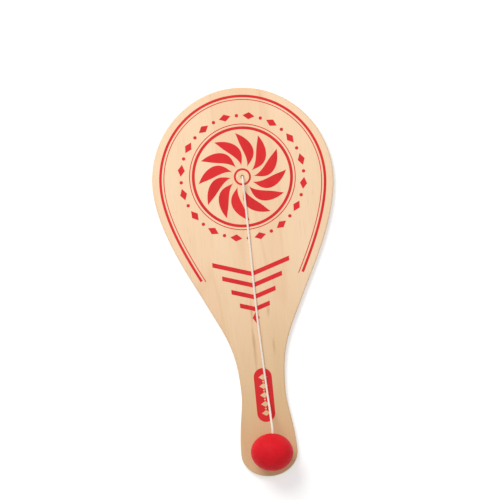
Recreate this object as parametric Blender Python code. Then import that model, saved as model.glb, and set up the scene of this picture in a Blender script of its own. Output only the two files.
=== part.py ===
"""Paddle ball: a thin plywood paddle, and a rubber ball on an elastic that is knotted through the head.

The paddle lies on its back with the playing face up. +Y runs up the paddle from the grip to the head and +X
runs to the right across it. The origin is in the middle of the outline, on the surface the paddle lies on.
Lengths are in metres and angles in degrees.
"""

import math

import bmesh
import bpy
from mathutils import Matrix, Vector

# Paddle outline. Widths are across the paddle, and places are measured up it from its middle.
PADDLE_LENGTH = 0.273
HEAD_WIDTH = 0.127
HEAD_CROWN = 0.065  # from the head's widest line up to its top end
FLANK_PULL = 0.030  # how far the head keeps its width before it tapers
TAPER_WIDTH = 0.0724  # paddle width halfway down the straight taper
TAPER_PLACE = -0.008
TAPER_ANGLE = 25.4  # of the tapering side, from the paddle's axis
TAPER_RUN_UP = 0.0154  # straightness of the taper above its middle
TAPER_RUN_DOWN = 0.0296  # straightness of the taper below its middle
NECK_WIDTH = 0.031
NECK_PLACE = -0.0783
NECK_RUN_UP = 0.0343  # softness of the throat above the neck
NECK_RUN_DOWN = 0.010
GRIP_WIDTH = 0.0395
GRIP_END = 0.0165  # from the grip's widest line down to its round end
GRIP_RUN_UP = 0.0176

# Plies.
FACE_PLY = 0.0012
CORE_PLY = 0.0022
GLUE_LINE = 0.0001
EDGE_ROUND = 0.0008

# Hole through the front ply, and the pocket behind it that takes the stopper knot.
HOLE_FROM_TOP = 0.0625
HOLE_DIAMETER = 0.0024
POCKET_DIAMETER = 0.0060

# Elastic and its knots.
ELASTIC_DIAMETER = 0.0015
BACK_KNOT_DIAMETER = 0.0044
BACK_KNOT_INSET = 0.0005  # how far the knot stays above the paddle's back
BALL_KNOT_DIAMETER = 0.0042
BALL_KNOT_LENGTH = 0.0030
KNOT_BARREL = 0.5  # roundness of a knot's side, from 1, pointed, to 0, square
KNOT_GROOVE = 0.16  # depth of the groove between its two wraps, as a share of its radius
KNOT_GROOVE_WIDTH = 0.10  # as a share of its length
SEAT_GAP = 0.0003  # between pieces that touch

# Route of the elastic's free run: across the paddle, down it from the hole, and height above the face.
# It comes straight out of the hole, arches over, lies on the face, and rises to the ball.
RUN_ROUTE = (
    (0.0000, 0.0000, 0.0005),
    (0.0000, 0.0001, 0.0017),
    (0.0000, 0.0010, 0.0032),
    (0.0000, 0.0030, 0.0042),
    (0.0001, 0.0057, 0.0042),
    (0.0001, 0.0088, 0.0034),
    (0.0002, 0.0122, 0.0024),
    (0.0002, 0.0162, 0.0016),
    (0.0003, 0.0207, 0.0012),
    (0.0003, 0.0260, 0.00108),
    (0.0004, 0.0400, 0.00105),
    (0.0005, 0.0600, 0.00105),
    (0.0005, 0.0800, 0.00105),
    (0.0008, 0.1000, 0.00105),
    (0.0013, 0.1180, 0.00105),
    (0.0017, 0.1290, 0.00105),
    (0.0020, 0.1380, 0.00105),
    (0.0023, 0.1450, 0.00105),
    (0.0026, 0.1520, 0.00108),
    (0.0028, 0.1560, 0.00142),
    (0.0030, 0.1600, 0.00295),
    (0.0032, 0.1640, 0.00565),
    (0.0033, 0.1675, 0.00842),
    (0.0034, 0.1710, 0.01115),
    (0.0036, 0.1745, 0.01342),
    (0.0037, 0.1775, 0.01470),
    (0.0035, 0.1801, 0.01510),
)
RUN_POINT_SPACING = 3.0  # in elastic diameters
RUN_STEPS_MIN = 3  # points in the shortest stretch of the route
RUN_SECTION_STEPS = 2  # of the run's section, which then has 8 sides

# Ball: a little flat along its bore, which lies level and turned a little to one side over the grip.
BALL_DIAMETER = 0.0296
BALL_LENGTH = 0.0264  # along the bore
BALL_BORE_CLEARANCE = 0.0003
BALL_MOUTH_ROUND = 0.0007
BALL_RECESS_DIAMETER = 0.0052
BALL_RECESS_DEPTH = 0.0036
BORE_YAW = 7.0  # of the bore, off the paddle's axis

# Fineness of the round forms.
CROWN_STEPS = 22
FLANK_STEPS = 14
THROAT_STEPS = 18
GRIP_STEPS = 12
GRIP_END_STEPS = 14
EDGE_STEPS = 3
HOLE_SIDES = 32
KNOT_SIDES = 20
KNOT_PROFILE_STEPS = 14
SHANK_SIDES = 16
BALL_SIDES = 48
BALL_PROFILE_STEPS = 26
ROUND_BEVEL = 0.5  # a bevel's profile where it is a circular arc
SHARP_ANGLE = 35.0  # edges that turn more than this stay sharp
AXIS_MARK = 0.010  # size at which a joint's empty is drawn

# Levels of the plies and places on the paddle that several pieces share.
BACK_TOP = FACE_PLY
CORE_BOTTOM = BACK_TOP + GLUE_LINE
CORE_TOP = CORE_BOTTOM + CORE_PLY
FRONT_BOTTOM = CORE_TOP + GLUE_LINE
FACE_LEVEL = FRONT_BOTTOM + FACE_PLY
HOLE_PLACE = PADDLE_LENGTH / 2 - HOLE_FROM_TOP
ELASTIC_RADIUS = ELASTIC_DIAMETER / 2
LYING_HEIGHT = ELASTIC_RADIUS + SEAT_GAP  # of the elastic's centreline above the face where it lies


def clear_scene():
    """Remove every object that the file opened with."""
    for old in list(bpy.data.objects):
        bpy.data.objects.remove(old, do_unlink=True)


def material(name, colour, roughness):
    """A Principled BSDF material of one linear colour."""
    made = bpy.data.materials.new(name)
    made.use_nodes = True
    shader = made.node_tree.nodes["Principled BSDF"]
    shader.inputs["Base Color"].default_value = (*colour, 1.0)
    shader.inputs["Roughness"].default_value = roughness
    shader.inputs["Metallic"].default_value = 0.0
    return made


def link(name, data, finish):
    """Put data into the scene as an object with one material."""
    piece = bpy.data.objects.new(name, data)
    bpy.context.scene.collection.objects.link(piece)
    data.materials.append(finish)
    return piece


def mesh_piece(name, form, finish):
    """Turn a bmesh into a smooth-shaded object whose real edges stay sharp."""
    bmesh.ops.recalc_face_normals(form, faces=form.faces)
    mesh = bpy.data.meshes.new(name)
    form.to_mesh(mesh)
    form.free()
    mesh.shade_smooth()
    mesh.set_sharp_from_angle(angle=math.radians(SHARP_ANGLE))
    return link(name, mesh, finish)


def bezier(start, pull_out, pull_in, end, steps):
    """Points of a cubic curve, without its first one."""
    points = []
    for step in range(1, steps + 1):
        t = step / steps
        points.append(
            start * (1 - t) ** 3
            + pull_out * (3 * t * (1 - t) ** 2)
            + pull_in * (3 * t * t * (1 - t))
            + end * t**3
        )
    return points


def paddle_side():
    """Right side of the paddle's outline, from the top end down to the round end of the grip."""
    top = PADDLE_LENGTH / 2
    bottom = -PADDLE_LENGTH / 2
    widest = Vector((HEAD_WIDTH / 2, top - HEAD_CROWN))
    taper = Vector((TAPER_WIDTH / 2, TAPER_PLACE))
    along_taper = Vector((math.sin(math.radians(TAPER_ANGLE)), math.cos(math.radians(TAPER_ANGLE))))
    neck = Vector((NECK_WIDTH / 2, NECK_PLACE))
    grip = Vector((GRIP_WIDTH / 2, bottom + GRIP_END))
    up = Vector((0.0, 1.0))

    points = []
    for step in range(CROWN_STEPS + 1):
        turn = math.pi / 2 * step / CROWN_STEPS
        points.append(Vector((widest.x * math.sin(turn), widest.y + HEAD_CROWN * math.cos(turn))))
    points += bezier(
        widest, widest - up * FLANK_PULL, taper + along_taper * TAPER_RUN_UP, taper, FLANK_STEPS
    )
    points += bezier(
        taper, taper - along_taper * TAPER_RUN_DOWN, neck + up * NECK_RUN_UP, neck, THROAT_STEPS
    )
    points += bezier(neck, neck - up * NECK_RUN_DOWN, grip + up * GRIP_RUN_UP, grip, GRIP_STEPS)
    for step in range(1, GRIP_END_STEPS + 1):
        turn = math.pi / 2 * step / GRIP_END_STEPS
        points.append(Vector((grip.x * math.cos(turn), grip.y - GRIP_END * math.sin(turn))))
    return points


def paddle_outline():
    """The whole outline, once round. The two end points lie on the axis and aren't doubled."""
    right = paddle_side()
    left = [Vector((-p.x, p.y)) for p in right[-2:0:-1]]
    return right + left


def ply(name, low, high, finish, rounded):
    """A veneer between two levels, with its edge eased at the level named by rounded, if any."""
    form = bmesh.new()
    rim = [form.verts.new((p.x, p.y, low)) for p in paddle_outline()]
    sheet = form.faces.new(rim)
    raised = bmesh.ops.extrude_face_region(form, geom=[sheet])
    lifted = [item for item in raised["geom"] if isinstance(item, bmesh.types.BMVert)]
    bmesh.ops.translate(form, verts=lifted, vec=(0.0, 0.0, high - low))
    if rounded is not None:
        middle = (low + high) / 2
        upper = rounded > middle
        eased = [
            edge
            for edge in form.edges
            if all((vert.co.z > middle) == upper for vert in edge.verts)
        ]
        bmesh.ops.bevel(
            form, geom=eased, offset=EDGE_ROUND, segments=EDGE_STEPS, profile=ROUND_BEVEL, affect="EDGES"
        )
    return mesh_piece(name, form, finish)


def drill(name, diameter, low, high):
    """A hidden cylinder on the hole's axis, to cut the plies with."""
    form = bmesh.new()
    bmesh.ops.create_cone(
        form,
        cap_ends=True,
        segments=HOLE_SIDES,
        radius1=diameter / 2,
        radius2=diameter / 2,
        depth=high - low,
        matrix=Matrix.Translation((0.0, HOLE_PLACE, (low + high) / 2)),
    )
    mesh = bpy.data.meshes.new(name)
    form.to_mesh(mesh)
    form.free()
    cutter = bpy.data.objects.new(name, mesh)
    bpy.context.scene.collection.objects.link(cutter)
    cutter.hide_render = True
    cutter.display_type = "WIRE"
    return cutter


def cut(piece, cutter):
    """Take the cutter's volume out of a piece."""
    opening = piece.modifiers.new("hole", "BOOLEAN")
    opening.operation = "DIFFERENCE"
    opening.solver = "EXACT"
    opening.object = cutter


def turned(name, profile, sides, finish):
    """A body turned about its own Z axis. The profile is (radius, height) pairs up the outside.

    Where it starts and ends off the axis, it is a closed loop round a bore.
    """
    form = bmesh.new()
    rings = []
    for radius, height in profile:
        if radius == 0.0:
            rings.append([form.verts.new((0.0, 0.0, height))])
            continue
        ring = []
        for side in range(sides):
            turn = 2 * math.pi * side / sides
            ring.append(form.verts.new((radius * math.cos(turn), radius * math.sin(turn), height)))
        rings.append(ring)
    bored = len(rings[0]) > 1
    pairs = list(zip(rings, rings[1:]))
    if bored:
        pairs.append((rings[-1], rings[0]))
    for lower, upper in pairs:
        for side in range(sides):
            after = (side + 1) % sides
            corners = [lower[side % len(lower)], lower[after % len(lower)]]
            corners += [upper[after % len(upper)], upper[side % len(upper)]]
            distinct = list(dict.fromkeys(corners))
            form.faces.new(distinct)
    return mesh_piece(name, form, finish)


def knot_profile(diameter, length):
    """Two rounded wraps of elastic side by side, from the lower end to the upper one."""
    profile = [(0.0, 0.0)]
    for step in range(1, KNOT_PROFILE_STEPS):
        share = step / KNOT_PROFILE_STEPS
        off_middle = share - 0.5
        barrel = math.sin(math.pi * share) ** KNOT_BARREL
        groove = KNOT_GROOVE * math.exp(-((off_middle / KNOT_GROOVE_WIDTH) ** 2))
        profile.append((diameter / 2 * barrel * (1 - groove), length * share))
    profile.append((0.0, length))
    return profile


def cylinder_profile(radius, length):
    """A plain round bar with flat ends."""
    return [(0.0, 0.0), (radius, 0.0), (radius, length), (0.0, length)]


def ball_profile():
    """Outside of the ball from the near mouth to the far one, then back through recess and bore."""
    reach = BALL_LENGTH / 2
    across = BALL_DIAMETER / 2
    bore = ELASTIC_RADIUS + BALL_BORE_CLEARANCE
    recess = BALL_RECESS_DIAMETER / 2
    inset = BALL_MOUTH_ROUND * (1 - math.cos(math.radians(45)))  # of a mouth's round, at its middle

    def height_at(radius):
        return reach * math.sqrt(1 - (radius / across) ** 2)

    mouth_edge = bore + BALL_MOUTH_ROUND
    rim_edge = recess + BALL_MOUTH_ROUND
    first = math.asin(mouth_edge / across)
    last = math.pi - math.asin(rim_edge / across)
    profile = []
    for step in range(BALL_PROFILE_STEPS + 1):
        turn = first + (last - first) * step / BALL_PROFILE_STEPS
        profile.append((across * math.sin(turn), -reach * math.cos(turn)))
    far = height_at(rim_edge)
    near = height_at(mouth_edge)
    profile.append((recess + inset, far - inset))
    profile.append((recess, far - BALL_MOUTH_ROUND))
    profile.append((recess, reach - BALL_RECESS_DEPTH))
    profile.append((bore, reach - BALL_RECESS_DEPTH))
    profile.append((bore, -near + BALL_MOUTH_ROUND))
    profile.append((bore + inset, -near + inset))
    return profile


def smooth_route(route):
    """Points of one smooth curve through the route's own points, close enough for the elastic's bends."""
    points = [Vector((x, HOLE_PLACE - down, FACE_LEVEL + height)) for x, down, height in route]
    chords = [(b - a).length for a, b in zip(points, points[1:])]
    slopes = [(b - a) / chord for a, b, chord in zip(points, points[1:], chords)]
    tangents = [slopes[0]]
    for before, after, chord, following in zip(slopes, slopes[1:], chords, chords[1:]):
        tangents.append((before * following + after * chord) / (chord + following))
    tangents.append(slopes[-1])
    curve = [points[0]]
    for i, chord in enumerate(chords):
        steps = max(RUN_STEPS_MIN, math.ceil(chord / (RUN_POINT_SPACING * ELASTIC_DIAMETER)))
        for step in range(1, steps + 1):
            t = step / steps
            curve.append(
                points[i] * (2 * t**3 - 3 * t**2 + 1)
                + tangents[i] * chord * (t**3 - 2 * t**2 + t)
                + points[i + 1] * (3 * t**2 - 2 * t**3)
                + tangents[i + 1] * chord * (t**3 - t**2)
            )
    return curve


def tube(name, centreline, radius, finish):
    """A round tube with filled ends along a line of points."""
    line = bpy.data.curves.new(name, "CURVE")
    line.dimensions = "3D"
    line.bevel_depth = radius
    line.bevel_resolution = RUN_SECTION_STEPS
    line.use_fill_caps = True
    spline = line.splines.new("POLY")
    spline.points.add(len(centreline) - 1)
    for point, place in zip(spline.points, centreline):
        point.co = (*place, 1.0)
    return link(name, line, finish)


def axis_empty(name, place, parent):
    """An empty on a joint's axis, which carries what that joint moves."""
    empty = bpy.data.objects.new(name, None)
    bpy.context.scene.collection.objects.link(empty)
    empty.empty_display_size = AXIS_MARK
    empty.parent = parent
    bpy.context.view_layer.update()
    empty.matrix_world = Matrix.Translation(place)
    bpy.context.view_layer.update()
    return empty


def carry(piece, empty):
    """Parent a piece to an empty and leave it where it is."""
    bpy.context.view_layer.update()
    place = piece.matrix_world.copy()
    piece.parent = empty
    piece.matrix_parent_inverse = empty.matrix_world.inverted()
    piece.matrix_world = place


def ball_placement():
    """Ball's centre as it lies on the playing face, and its bore's direction away from the hole."""
    yaw = math.radians(BORE_YAW)
    bore = Vector((-math.sin(yaw), -math.cos(yaw), 0.0))
    across, down, _ = RUN_ROUTE[-1]
    mouth = Vector((across, HOLE_PLACE - down, FACE_LEVEL + SEAT_GAP + BALL_DIAMETER / 2))
    return mouth + bore * (SEAT_GAP + BALL_LENGTH / 2), bore


def build_paddle(face_wood, core_wood):
    """Three plies, drilled for the elastic and its knot."""
    back = ply("back_face_ply", 0.0, BACK_TOP, face_wood, rounded=0.0)
    core = ply("core_ply", CORE_BOTTOM, CORE_TOP, core_wood, rounded=None)
    front = ply("front_face_ply", FRONT_BOTTOM, FACE_LEVEL, face_wood, rounded=FACE_LEVEL)
    hole = drill("hole_drill", HOLE_DIAMETER, CORE_TOP, FACE_LEVEL + FACE_PLY)
    pocket = drill("pocket_drill", POCKET_DIAMETER, -FACE_PLY, (FRONT_BOTTOM + CORE_TOP) / 2)
    cut(front, hole)
    cut(core, pocket)
    cut(back, pocket)


def build_elastic_in_paddle(white, swivel):
    """The stopper knot in its pocket, and the short stretch up through the front ply."""
    knot_length = FRONT_BOTTOM - SEAT_GAP - BACK_KNOT_INSET
    knot = turned("back_knot", knot_profile(BACK_KNOT_DIAMETER, knot_length), KNOT_SIDES, white)
    knot.location = (0.0, HOLE_PLACE, BACK_KNOT_INSET)
    shank_top = FACE_LEVEL + RUN_ROUTE[0][2] - SEAT_GAP
    profile = cylinder_profile(ELASTIC_RADIUS, shank_top - FRONT_BOTTOM)
    shank = turned("elastic_shank", profile, SHANK_SIDES, white)
    shank.location = (0.0, HOLE_PLACE, FRONT_BOTTOM)
    carry(knot, swivel)
    carry(shank, swivel)


def build_elastic_run(white, lift):
    """The free run of elastic from the hole to the ball."""
    run = tube("elastic_run", smooth_route(RUN_ROUTE), ELASTIC_RADIUS, white)
    carry(run, lift)


def build_ball(rubber, white, stretch):
    """The ball, which turns on the elastic through its bore, and the stopper knot in its far end."""
    centre, bore = ball_placement()
    spin = axis_empty("ball_spin_axis", centre, stretch)
    aim = bore.to_track_quat("Z", "Y").to_matrix().to_4x4()
    reach = BALL_LENGTH / 2
    floor = reach - BALL_RECESS_DEPTH
    through = cylinder_profile(ELASTIC_RADIUS, floor + reach)
    knot = knot_profile(BALL_KNOT_DIAMETER, BALL_KNOT_LENGTH)
    pieces = (
        (turned("ball", ball_profile(), BALL_SIDES, rubber), 0.0, spin),
        (turned("elastic_in_ball", through, SHANK_SIDES, white), -reach, stretch),
        (turned("ball_knot", knot, KNOT_SIDES, white), floor + SEAT_GAP, stretch),
    )
    for piece, along, carrier in pieces:
        piece.matrix_world = Matrix.Translation(centre + bore * along) @ aim
        carry(piece, carrier)


def main():
    clear_scene()
    face_wood = material("face_veneer", (0.88, 0.72, 0.50), 0.62)
    core_wood = material("core_veneer", (0.74, 0.56, 0.36), 0.75)
    white = material("white_elastic", (0.86, 0.83, 0.79), 0.80)
    rubber = material("red_rubber", (0.72, 0.02, 0.03), 0.50)

    hole_mouth = Vector((0.0, HOLE_PLACE, FACE_LEVEL))
    hinge = hole_mouth + Vector((0.0, 0.0, LYING_HEIGHT))
    swivel = axis_empty("string_swivel_axis", hole_mouth, None)
    lift = axis_empty("string_lift_axis", hinge, swivel)
    stretch = axis_empty("string_stretch_axis", hinge, lift)

    build_paddle(face_wood, core_wood)
    build_elastic_in_paddle(white, swivel)
    build_elastic_run(white, lift)
    build_ball(rubber, white, stretch)


main()
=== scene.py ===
"""Looks of the paddle ball: plywood, print, elastic, knots and rubber ball, in a plain studio.

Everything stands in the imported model's frame: metres, with +Y up the paddle from the grip to the head, +X to
the right across it and +Z out of the playing face. The classes hold their sizes in millimetres, as a maker
would give them, and MM turns them into metres.
"""

import logging
import math
from dataclasses import dataclass
from enum import Enum

import bmesh
import bpy
import numpy as np
from mathutils import Matrix, Vector

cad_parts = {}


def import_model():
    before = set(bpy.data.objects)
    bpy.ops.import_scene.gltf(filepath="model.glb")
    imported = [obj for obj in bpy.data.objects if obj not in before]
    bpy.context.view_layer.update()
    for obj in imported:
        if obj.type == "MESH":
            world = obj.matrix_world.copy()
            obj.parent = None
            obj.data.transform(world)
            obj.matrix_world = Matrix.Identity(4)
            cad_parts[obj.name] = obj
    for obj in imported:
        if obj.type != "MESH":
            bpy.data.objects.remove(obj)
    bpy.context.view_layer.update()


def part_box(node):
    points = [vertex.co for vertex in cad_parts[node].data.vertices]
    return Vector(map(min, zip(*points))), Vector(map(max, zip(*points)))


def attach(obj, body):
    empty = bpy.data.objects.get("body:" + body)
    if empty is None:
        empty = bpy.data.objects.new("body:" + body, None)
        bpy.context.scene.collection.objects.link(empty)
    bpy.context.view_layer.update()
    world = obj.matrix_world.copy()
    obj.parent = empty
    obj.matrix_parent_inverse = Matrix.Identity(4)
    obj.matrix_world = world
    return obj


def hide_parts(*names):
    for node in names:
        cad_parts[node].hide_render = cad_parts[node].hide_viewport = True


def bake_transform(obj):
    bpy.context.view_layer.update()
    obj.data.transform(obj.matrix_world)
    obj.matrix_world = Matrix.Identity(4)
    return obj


MM = 0.001
SHARP_ANGLE = math.radians(35.0)
CURVE_STEPS_MIN = 4  # steps in the shortest stretch of a smooth line
UP = Vector((0.0, 1.0))  # up the paddle, on its face

# Route of the elastic's free run, in metres: across the paddle, down it from the hole, height above the face.
RUN_ROUTE = (
    (0.0000, 0.0000, 0.0005),
    (0.0000, 0.0001, 0.0017),
    (0.0000, 0.0010, 0.0032),
    (0.0000, 0.0030, 0.0042),
    (0.0001, 0.0057, 0.0042),
    (0.0001, 0.0088, 0.0034),
    (0.0002, 0.0122, 0.0024),
    (0.0002, 0.0162, 0.0016),
    (0.0003, 0.0207, 0.0012),
    (0.0003, 0.0260, 0.00108),
    (0.0004, 0.0400, 0.00105),
    (0.0005, 0.0600, 0.00105),
    (0.0005, 0.0800, 0.00105),
    (0.0008, 0.1000, 0.00105),
    (0.0013, 0.1180, 0.00105),
    (0.0017, 0.1290, 0.00105),
    (0.0020, 0.1380, 0.00105),
    (0.0023, 0.1450, 0.00105),
    (0.0026, 0.1520, 0.00108),
    (0.0028, 0.1560, 0.00142),
    (0.0030, 0.1600, 0.00295),
    (0.0032, 0.1640, 0.00565),
    (0.0033, 0.1675, 0.00842),
    (0.0034, 0.1710, 0.01115),
    (0.0036, 0.1745, 0.01342),
    (0.0037, 0.1775, 0.01470),
    (0.0035, 0.1801, 0.01510),
)

log = logging.getLogger("paddle_ball")

Tree = bpy.types.NodeTree
Socket = bpy.types.NodeSocket
Material = bpy.types.Material
Piece = bpy.types.Object
Form = bmesh.types.BMesh
VertRing = list[bmesh.types.BMVert]
Loop = list[Vector]
Shape = list[Loop]


class Run(Enum):
    """Way that a pattern's marks are drawn out, as the number of that axis."""

    ACROSS_PADDLE = 0
    UP_PADDLE = 1
    DOWN_CORD = 2


class EasedEdge(Enum):
    """Which face of a ply has its edge eased by sanding."""

    TOP = "top"
    BOTTOM = "bottom"
    NONE = "none"


def linear(colour: str) -> tuple[float, float, float, float]:
    """Turn an sRGB hex colour into linear RGBA.

    Args:
        colour: Six hex digits after a hash sign.

    Returns:
        Red, green, blue and an alpha of 1.
    """
    channels = []
    for start in (1, 3, 5):
        value = int(colour[start : start + 2], 16) / 255
        channels.append(value / 12.92 if value <= 0.04045 else ((value + 0.055) / 1.055) ** 2.4)
    return (*channels, 1.0)


def add_node(
    tree: Tree,
    kind: str,
    settings: dict[str | int, object] | None = None,
    links: dict[str | int, Socket] | None = None,
) -> bpy.types.Node:
    """Add a shader node with its settings and links.

    Args:
        tree: Node tree that gets the node.
        kind: Blender's name for the kind of node, without ShaderNode before it.
        settings: Values by attribute name, socket name or socket number.
        links: Output sockets by the name or number of the input that each one feeds.

    Returns:
        The new node.
    """
    node = tree.nodes.new("ShaderNode" + kind)
    for key, value in (settings or {}).items():
        if isinstance(key, str) and hasattr(node, key):
            setattr(node, key, value)
        else:
            node.inputs[key].default_value = value
    for key, output in (links or {}).items():
        tree.links.new(output, node.inputs[key])
    return node


@dataclass(frozen=True)
class Marks:
    """Soft noise whose marks have a real size, in millimetres."""

    width: float
    length: float
    detail: float  # octaves of finer noise
    shift: float  # moves the pattern, so that two of them don't match

    def pattern(self, tree: Tree, place: Socket, run: Run = Run.UP_PADDLE) -> Socket:
        """Add the noise to a node tree.

        Args:
            tree: Node tree to add to.
            place: Place on the surface, in metres.
            run: Way that the marks' length lies.

        Returns:
            The noise, about 0.5 on average.
        """
        sizes = [self.width] * 3
        sizes[run.value] = self.length
        scale = {"operation": "MULTIPLY_ADD", 1: [1 / (size * MM) for size in sizes], 2: [self.shift] * 3}
        scaled = add_node(tree, "VectorMath", scale, {0: place})
        noise = {"Scale": 1.0, "Detail": self.detail}
        return add_node(tree, "TexNoise", noise, {"Vector": scaled.outputs[0]}).outputs["Fac"]


@dataclass(frozen=True)
class Tint:
    """A colour that shows over another where a pattern passes from one level to a second."""

    colour: str
    bare: float  # level of the pattern where none of it shows
    full: float  # level where it shows most
    share: float = 1.0  # how much of it shows there

    def over(self, tree: Tree, ground: Socket | str, pattern: Socket) -> Socket:
        """Lay the tint over a colour.

        Args:
            tree: Node tree to add to.
            ground: What it lies over, as a colour socket or an sRGB hex colour.
            pattern: Pattern that places the tint.

        Returns:
            The mixed colour.
        """
        smooth = {"interpolation_type": "SMOOTHSTEP"}
        levels = {"From Min": self.bare, "From Max": self.full, "To Max": self.share}
        amount = add_node(tree, "MapRange", smooth | levels, {0: pattern})
        # A mix node takes its colours at inputs 6 and 7, and gives one at output 2.
        settings = {"data_type": "RGBA", 7: linear(self.colour)}
        links = {0: amount.outputs[0]}
        if isinstance(ground, str):
            settings[6] = linear(ground)
        else:
            links[6] = ground
        return add_node(tree, "Mix", settings, links).outputs[2]


Layers = tuple[tuple[Marks, Tint], ...]


@dataclass(frozen=True)
class Finish:
    """A surface: what the real one is made of, how that was worked, and what it gives the eye.

    The IOR is the typical one of that material, and the specular level matches its gloss to the object's.
    """

    name: str
    ior: float
    roughness: float
    rough_spread: float = 0.08  # how far the roughness varies either way
    relief: float = 0.01  # height of the small relief, in millimetres
    specular: float = 0.5
    sheen: float = 0.0

    def patterns(self, tree: Tree) -> tuple[Socket, Socket, Socket]:
        """Build the colour, the roughness's pattern and the relief's pattern."""
        raise NotImplementedError

    def material(self) -> Material:
        """Build the finish as a material.

        Returns:
            The material, whose colour, roughness and relief come from its patterns.
        """
        material = bpy.data.materials.new(self.name)
        material.use_nodes = True
        tree = material.node_tree
        shader = tree.nodes["Principled BSDF"]
        colour, worn, raised = self.patterns(tree)
        low, high = self.roughness - self.rough_spread, self.roughness + self.rough_spread
        rough = add_node(tree, "MapRange", {"To Min": low, "To Max": high}, {0: worn})
        bump = add_node(tree, "Bump", {"Distance": self.relief * MM}, {"Height": raised})
        shader.inputs["IOR"].default_value = self.ior
        shader.inputs["Specular IOR Level"].default_value = self.specular
        shader.inputs["Sheen Weight"].default_value = self.sheen
        tree.links.new(colour, shader.inputs["Base Color"])
        tree.links.new(rough.outputs[0], shader.inputs["Roughness"])
        tree.links.new(bump.outputs[0], shader.inputs["Normal"])
        return material


@dataclass(frozen=True)
class LayeredFinish(Finish):
    """A finish of one even colour under tints that soft noise places."""

    ground: str = "#FFFFFF"
    layers: Layers = ()
    worn: int = 0  # number of the layer whose marks vary the roughness
    raised: int = 0  # number of the layer whose marks are the relief

    def patterns(self, tree: Tree) -> tuple[Socket, Socket, Socket]:
        """Lay the tints over the ground in their order.

        Args:
            tree: Node tree to add to.

        Returns:
            The colour, and the marks for the roughness and the relief.
        """
        place = add_node(tree, "TexCoord").outputs["Object"]
        colour = self.ground
        marks = []
        for layer, tint in self.layers:
            marks.append(layer.pattern(tree, place))
            colour = tint.over(tree, colour, marks[-1])
        return colour, marks[self.worn], marks[self.raised]


@dataclass(frozen=True)
class MineralStreak:
    """A brown streak that minerals leave in pale wood. Sizes and places are in millimetres on the paddle."""

    across: float
    middle: float
    width: float
    length: float
    share: float  # of the streak's colour that shows at its middle
    colour: str = "#B98A5E"
    bare: float = 1.6  # in halves of its size, from its middle
    full: float = 0.5
    ragged: tuple[float, float] = (1.6, 11.0)  # width and length of the marks that fray it

    def over(self, tree: Tree, ground: Socket, place: Socket, run: Run) -> Socket:
        """Lay the streak over the wood's colour.

        Args:
            tree: Node tree to add to.
            ground: Colour of the wood.
            place: Place on the surface, in metres.
            run: Way that the grain runs.

        Returns:
            The mixed colour.
        """
        half = (self.width / 2 * MM, self.length / 2 * MM, 1.0)
        middle = (self.across * MM, self.middle * MM, 0.0)
        off = add_node(tree, "VectorMath", {"operation": "SUBTRACT", 1: middle}, {0: place})
        scaled = add_node(tree, "VectorMath", {"operation": "DIVIDE", 1: half}, {0: off.outputs[0]})
        far = add_node(tree, "VectorMath", {"operation": "LENGTH"}, {0: scaled.outputs[0]})
        wander = Marks(*self.ragged, detail=2.0, shift=self.middle).pattern(tree, place, run)
        edge = add_node(tree, "Math", {"operation": "ADD"}, {0: far.outputs["Value"], 1: wander})
        return Tint(self.colour, self.bare, self.full, self.share).over(tree, ground, edge.outputs[0])


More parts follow.
